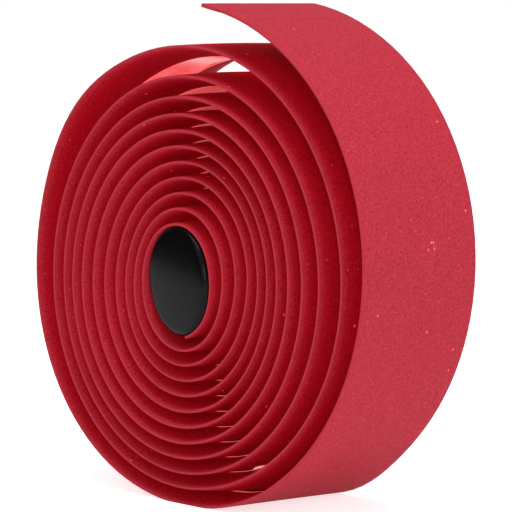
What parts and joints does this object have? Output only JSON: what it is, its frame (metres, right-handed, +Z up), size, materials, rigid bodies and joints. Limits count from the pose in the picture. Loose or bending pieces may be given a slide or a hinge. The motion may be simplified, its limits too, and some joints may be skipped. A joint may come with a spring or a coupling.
{
  "type": "roll of cork handlebar tape",
  "caption": "Roll of padded cork handlebar tape standing on its rim, its free end lifting off at the top, with a black oval bar-end plug pushed into the core.",
  "frame": {"origin": "middle of the roll's underside, on the flattened foot that it stands on", "axes": "+Z up, the roll's axis along Y, the plug's face towards -Y"},
  "size_m": [0.0914, 0.0318, 0.0955],
  "materials": {
    "red_cork": "matt foam with a cloudy cork grain",
    "liner_paper": "smooth coated paper, slightly crinkled",
    "black_plastic": "glossy moulded"
  },
  "bodies": {
    "root": {"cork_tape": "red_cork", "release_liner": "liner_paper", "end_plug": "black_plastic"}
  },
  "joints": []
}
